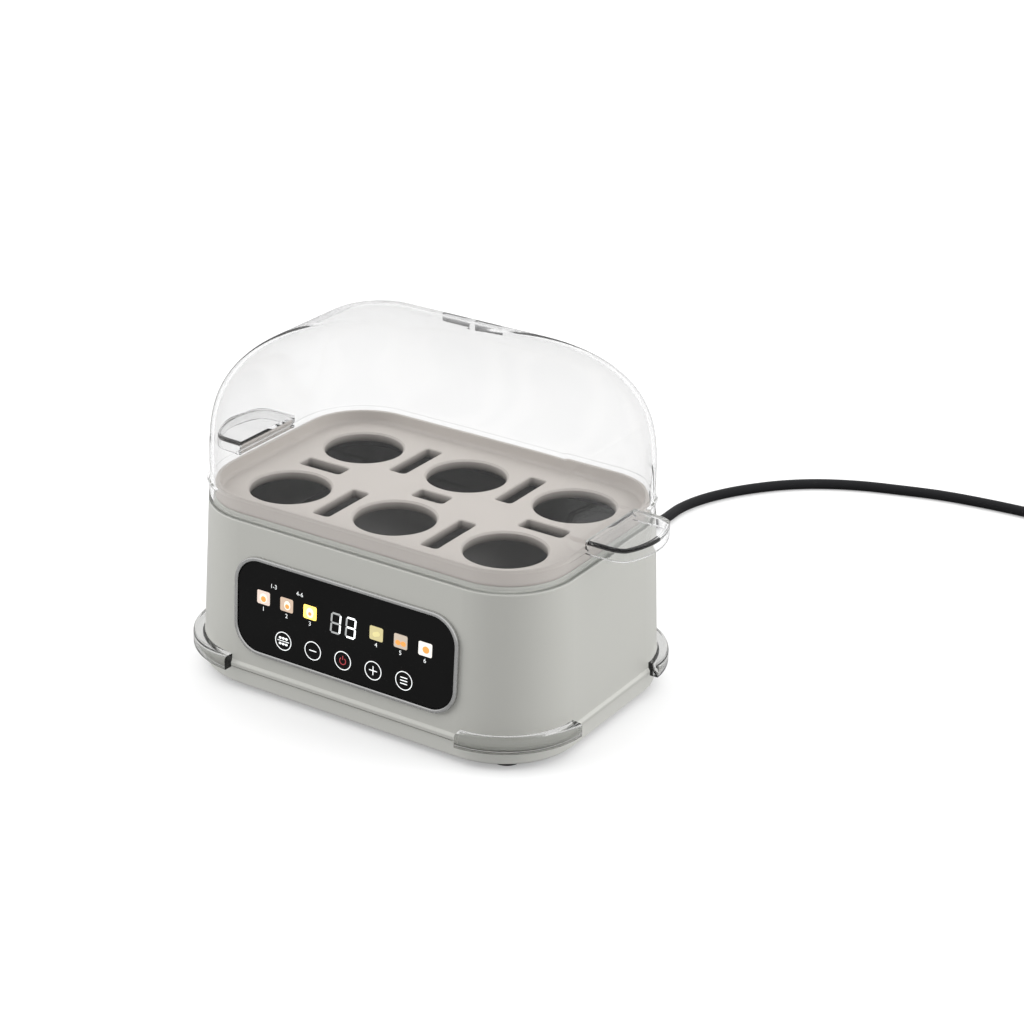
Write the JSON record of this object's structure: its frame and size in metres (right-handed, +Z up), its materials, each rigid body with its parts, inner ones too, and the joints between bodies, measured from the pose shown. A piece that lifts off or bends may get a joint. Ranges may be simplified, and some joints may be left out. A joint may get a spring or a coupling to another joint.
{
  "type": "egg cooker",
  "caption": "Electric egg cooker: housing with touch display, steam pan, lift-out tray with egg holes, and a clear domed lid with side handles.",
  "frame": {"origin": "middle of the cooker's plan at the surface its feet stand on", "axes": "+X to the right along the front, +Y from the front towards the back, +Z up"},
  "size_m": [0.4013, 0.5492, 0.1862],
  "materials": {
    "satin_housing": "satin pearl grey",
    "tray_plastic": "matt warm beige grey",
    "clear_plastic": "polished clear plastic",
    "black_glass": "polished black",
    "bright_bezel": "bright",
    "foot_rubber": "matt",
    "seal_rubber": "translucent silicone",
    "cord_rubber": "satin sheath",
    "screw_steel": "plated",
    "pan_steel": "satin stainless",
    "black_plastic": "moulded",
    "white_plastic": "moulded",
    "blue_plastic": "moulded",
    "circuit_board": "lacquered board",
    "brass_parts": "plain"
  },
  "bodies": {
    "base": {"base_plate": "satin_housing", "rubber_feet": "foot_rubber", "base_screws": "screw_steel", "housing_shell": "satin_housing", "front_left_guard": "clear_plastic", "front_right_guard": "clear_plastic", "rear_left_guard": "clear_plastic", "rear_right_guard": "clear_plastic", "display_bezel": "bright_bezel", "display_glass": "black_glass", "display_carrier": "black_plastic", "carrier_screws": "screw_steel", "touch_board": "circuit_board", "touch_pads": "brass_parts", "digit_module": "black_plastic", "icon_light_boxes": "white_plastic", "power_board": "circuit_board", "power_relay": "blue_plastic", "filter_capacitor": "blue_plastic", "terminal_block": "circuit_board", "board_screws": "screw_steel", "heating_pan": "pan_steel", "pan_seal": "seal_rubber", "heating_element": "pan_steel", "element_terminals": "brass_parts", "heat_shield": "pan_steel", "shield_studs": "screw_steel", "thermostat": "black_plastic", "thermostat_clip": "screw_steel", "thermal_fuse": "white_plastic", "strain_relief": "cord_rubber", "cord_clamp": "black_plastic", "clamp_screws": "screw_steel", "power_cord": "cord_rubber", "cord_coil": "cord_rubber", "plug_body": "cord_rubber", "plug_pins": "brass_parts"},
    "tray": {"egg_tray": "tray_plastic"},
    "lid": {"lid": "clear_plastic"}
  },
  "joints": [
    {"name": "tray_lift", "type": "slide", "parent": "base", "child": "tray", "axis": [0, 0, 1], "range_m": [0, 0.06]},
    {"name": "lid_lift", "type": "slide", "parent": "tray", "child": "lid", "axis": [0, 0, 1], "range_m": [0, 0.16]}
  ]
}
